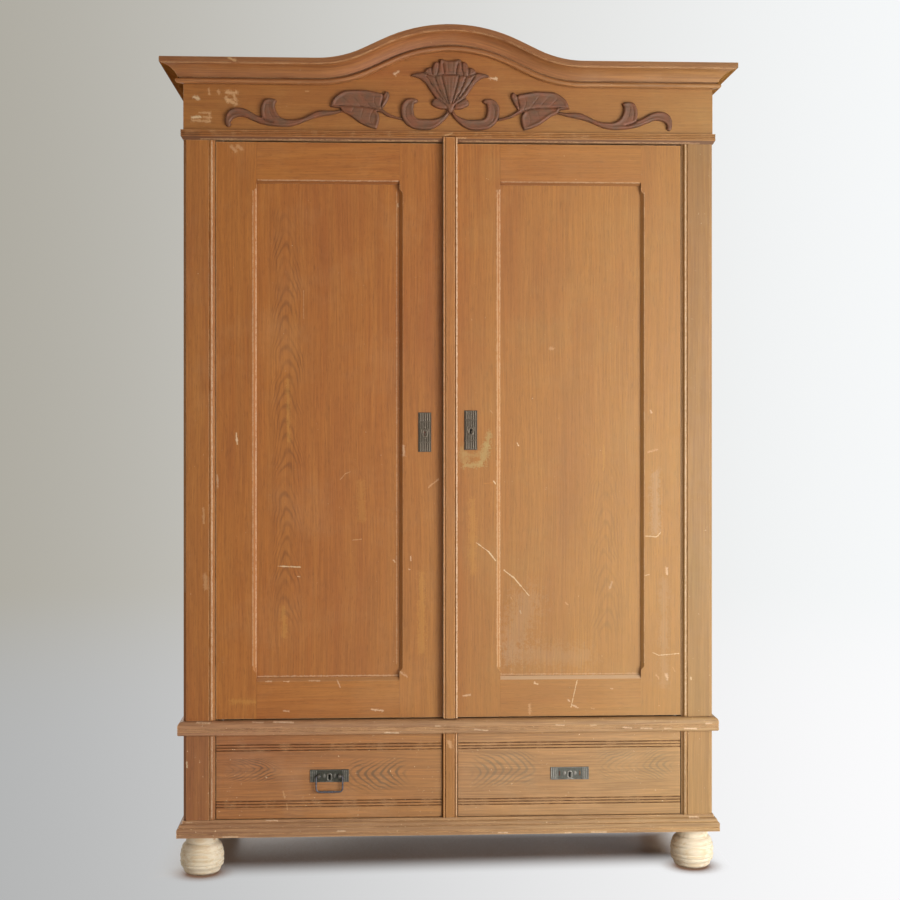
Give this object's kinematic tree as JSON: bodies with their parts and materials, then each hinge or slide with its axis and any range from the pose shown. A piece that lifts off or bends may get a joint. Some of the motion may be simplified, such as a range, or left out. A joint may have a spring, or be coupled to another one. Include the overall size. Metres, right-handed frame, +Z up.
{
  "type": "wardrobe",
  "caption": "Free-standing wardrobe with two panelled doors over two drawers, bun feet, and an arched crown moulding with applied carving.",
  "frame": {"origin": "on the floor, midway across and midway from the crown's front to the back", "axes": "+Z up, +X to the right seen from the front, +Y from the front to the back"},
  "size_m": [1.404, 0.612, 2.0779],
  "materials": {
    "grained_paint": "softwood painted and combed as oak, worn satin varnish",
    "aged_pine": "bare pine, darkened with age",
    "fresh_pine": "turned, bare pale pine",
    "dark_carving": "carved, dark brown stain, matte",
    "patinated_plate": "pressed metal plate, dark patina",
    "iron": "plain iron, aged",
    "bolt_metal": "worn lock brass"
  },
  "bodies": {
    "root": {"bun_feet": "fresh_pine", "base_frame": "aged_pine", "base_moulding": "grained_paint", "base_posts": "grained_paint", "base_sides": "grained_paint", "base_back": "aged_pine", "drawer_divider": "grained_paint", "drawer_guides": "aged_pine", "waist_board": "aged_pine", "waist_moulding": "grained_paint", "corner_post_left": "grained_paint", "corner_post_right": "grained_paint", "side_frame_left": "grained_paint", "side_frame_right": "grained_paint", "side_panels": "grained_paint", "back_boards": "aged_pine", "head_board": "aged_pine", "under_frieze_moulding": "grained_paint", "frieze_board": "grained_paint", "crown_box": "aged_pine", "crown_blocks": "aged_pine", "crown_moulding": "grained_paint", "crown_returns": "grained_paint", "carved_flower": "dark_carving", "carved_leaves": "dark_carving", "carved_inner_scrolls": "dark_carving", "carved_outer_scrolls": "dark_carving", "pivot_plates": "iron", "door_stops": "aged_pine", "hat_shelf": "aged_pine", "shelf_cleats": "aged_pine", "hanging_rail": "aged_pine", "rail_sockets": "aged_pine"},
    "left_door": {"left_door_stiles": "grained_paint", "left_door_rails": "grained_paint", "left_door_panel": "grained_paint", "left_door_pivots": "iron", "left_door_escutcheon": "patinated_plate", "left_door_bolt_guides": "iron"},
    "left_door_top_bolt": {"left_door_top_bolt": "iron"},
    "left_door_bottom_bolt": {"left_door_bottom_bolt": "iron"},
    "right_door": {"right_door_stiles": "grained_paint", "right_door_rails": "grained_paint", "right_door_panel": "grained_paint", "right_door_pivots": "iron", "right_door_escutcheon": "patinated_plate", "closing_strip": "grained_paint", "door_lock_case": "iron"},
    "door_lock_bolt": {"door_lock_bolt": "bolt_metal"},
    "left_drawer": {"left_drawer_front": "grained_paint", "left_drawer_box": "aged_pine", "left_drawer_plate": "patinated_plate", "left_drawer_lock_case": "iron"},
    "left_drawer_bail": {"left_drawer_bail": "patinated_plate"},
    "left_drawer_lock_bolt": {"left_drawer_lock_bolt": "bolt_metal"},
    "right_drawer": {"right_drawer_front": "grained_paint", "right_drawer_box": "aged_pine", "right_drawer_plate": "patinated_plate", "right_drawer_lock_case": "iron"},
    "right_drawer_lock_bolt": {"right_drawer_lock_bolt": "bolt_metal"}
  },
  "joints": [
    {"name": "left_door_hinge", "type": "hinge", "parent": "root", "child": "left_door", "pos_m": [-0.5565, -0.242, 0.39], "axis": [0, 0, -1], "range_deg": [0, 105]},
    {"name": "right_door_hinge", "type": "hinge", "parent": "root", "child": "right_door", "pos_m": [0.5565, -0.242, 0.39], "axis": [0, 0, 1], "range_deg": [0, 105]},
    {"name": "left_drawer_slide", "type": "slide", "parent": "root", "child": "left_drawer", "axis": [0, -1, 0], "range_m": [0, 0.36]},
    {"name": "right_drawer_slide", "type": "slide", "parent": "root", "child": "right_drawer", "axis": [0, -1, 0], "range_m": [0, 0.36]},
    {"name": "left_drawer_bail_hinge", "type": "hinge", "parent": "left_drawer", "child": "left_drawer_bail", "pos_m": [-0.2955, -0.2545, 0.249], "axis": [-1, 0, 0], "range_deg": [0, 85]},
    {"name": "door_lock_bolt_slide", "type": "slide", "parent": "right_door", "child": "door_lock_bolt", "axis": [-1, 0, 0], "range_m": [0, 0.012]},
    {"name": "left_drawer_lock_bolt_slide", "type": "slide", "parent": "left_drawer", "child": "left_drawer_lock_bolt", "axis": [0, 0, 1], "range_m": [0, 0.008]},
    {"name": "right_drawer_lock_bolt_slide", "type": "slide", "parent": "right_drawer", "child": "right_drawer_lock_bolt", "axis": [0, 0, 1], "range_m": [0, 0.008]},
    {"name": "left_door_top_bolt_slide", "type": "slide", "parent": "left_door", "child": "left_door_top_bolt", "axis": [0, 0, 1], "range_m": [0, 0.014]},
    {"name": "left_door_bottom_bolt_slide", "type": "slide", "parent": "left_door", "child": "left_door_bottom_bolt", "axis": [0, 0, -1], "range_m": [0, 0.013]}
  ]
}
